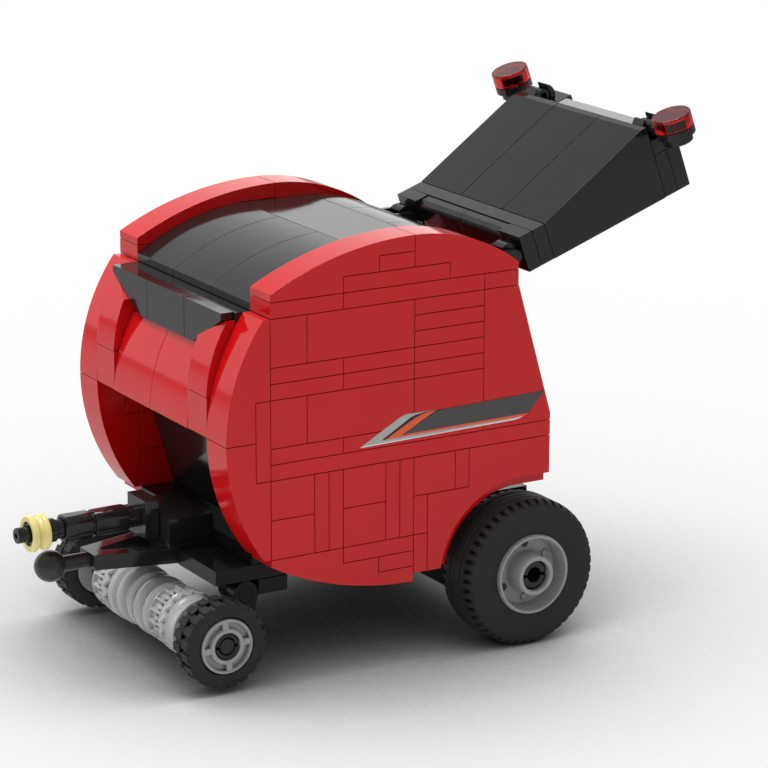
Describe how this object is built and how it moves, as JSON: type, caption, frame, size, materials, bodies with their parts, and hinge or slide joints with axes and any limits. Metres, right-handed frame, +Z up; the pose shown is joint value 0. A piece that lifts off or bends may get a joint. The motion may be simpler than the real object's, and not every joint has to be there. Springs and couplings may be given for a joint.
{
  "type": "toy round baler",
  "caption": "Brick-built toy round baler with a raised tailgate, lamps, pickup drum and wheels, tow ball and turning drive shaft.",
  "frame": {"origin": "centre of the bounding box at floor level, tailgate raised", "axes": "+X forwards towards the tow ball, +Y to the machine's left, +Z up"},
  "size_m": [0.1422, 0.076, 0.1061],
  "materials": {
    "red_plastic": "glossy moulded",
    "black_plastic": "glossy moulded",
    "grey_plastic": "glossy moulded",
    "yellow_plastic": "glossy moulded",
    "lamp_red_plastic": "transparent",
    "tyre_rubber": "matte"
  },
  "bodies": {
    "chassis": {"left_wall_bricks": "red_plastic", "left_top_arch": "red_plastic", "left_nose": "red_plastic", "left_rear_slope": "red_plastic", "left_belly_arch": "red_plastic", "left_wheel_arch": "red_plastic", "right_wall_bricks": "red_plastic", "right_top_arch": "red_plastic", "right_nose": "red_plastic", "right_rear_slope": "red_plastic", "right_belly_arch": "red_plastic", "right_wheel_arch": "red_plastic", "roof_front_panels": "black_plastic", "roof_middle_tile": "black_plastic", "roof_rear_panels": "black_plastic", "roof_base_plates": "black_plastic", "tailgate_hinge_plate": "black_plastic", "front_core": "black_plastic", "front_visor": "black_plastic", "intake_strip": "black_plastic", "intake_panel": "black_plastic", "chassis_floor": "black_plastic", "chassis_plates": "black_plastic", "rear_axle_block": "black_plastic", "pickup_hinge_lugs": "black_plastic", "pickup_arms": "black_plastic", "drawbar": "black_plastic", "tow_ball": "black_plastic", "shaft_bracket": "black_plastic", "shaft_bearing": "black_plastic", "front_panels": "red_plastic", "intake_strip_middle": "red_plastic", "front_flanges": "red_plastic"},
    "tailgate": {"tailgate_front_plates": "black_plastic", "tailgate_clips": "black_plastic", "tailgate_slopes": "black_plastic", "tailgate_rear_plates": "black_plastic", "tailgate_rear_tile": "grey_plastic", "lamp_holders": "black_plastic", "lamp_lenses": "lamp_red_plastic"},
    "rear_wheel_left": {"rear_rim_left": "grey_plastic", "rear_tyre_left": "tyre_rubber"},
    "rear_wheel_right": {"rear_rim_right": "grey_plastic", "rear_tyre_right": "tyre_rubber"},
    "pickup_wheel_left": {"pickup_rim_left": "grey_plastic", "pickup_tyre_left": "tyre_rubber"},
    "pickup_wheel_right": {"pickup_rim_right": "grey_plastic", "pickup_tyre_right": "tyre_rubber"},
    "drum": {"pickup_drum": "grey_plastic"},
    "shaft": {"drive_shaft": "black_plastic", "shaft_bush": "yellow_plastic"}
  },
  "joints": [
    {"name": "tailgate_hinge", "type": "hinge", "parent": "chassis", "child": "tailgate", "pos_m": [-0.02851, 0, 0.0776], "axis": [0, 1, 0], "range_deg": [-109.64, 30]},
    {"name": "rear_wheel_left_spin", "type": "hinge", "parent": "chassis", "child": "rear_wheel_left", "pos_m": [-0.02551, 0.031, 0.0152], "axis": [0, 1, 0], "continuous": true},
    {"name": "rear_wheel_right_spin", "type": "hinge", "parent": "chassis", "child": "rear_wheel_right", "pos_m": [-0.02551, -0.031, 0.0152], "axis": [0, 1, 0], "continuous": true},
    {"name": "pickup_wheel_left_spin", "type": "hinge", "parent": "chassis", "child": "pickup_wheel_left", "pos_m": [0.04095, 0.02745, 0.01005], "axis": [0, 1, 0], "continuous": true},
    {"name": "pickup_wheel_right_spin", "type": "hinge", "parent": "chassis", "child": "pickup_wheel_right", "pos_m": [0.04095, -0.02745, 0.01005], "axis": [0, 1, 0], "continuous": true},
    {"name": "drum_spin", "type": "hinge", "parent": "chassis", "child": "drum", "pos_m": [0.04095, 0, 0.01005], "axis": [0, 1, 0], "continuous": true},
    {"name": "shaft_spin", "type": "hinge", "parent": "chassis", "child": "shaft", "pos_m": [0.06689, 0, 0.0288], "axis": [1, 0, 0], "continuous": true}
  ]
}
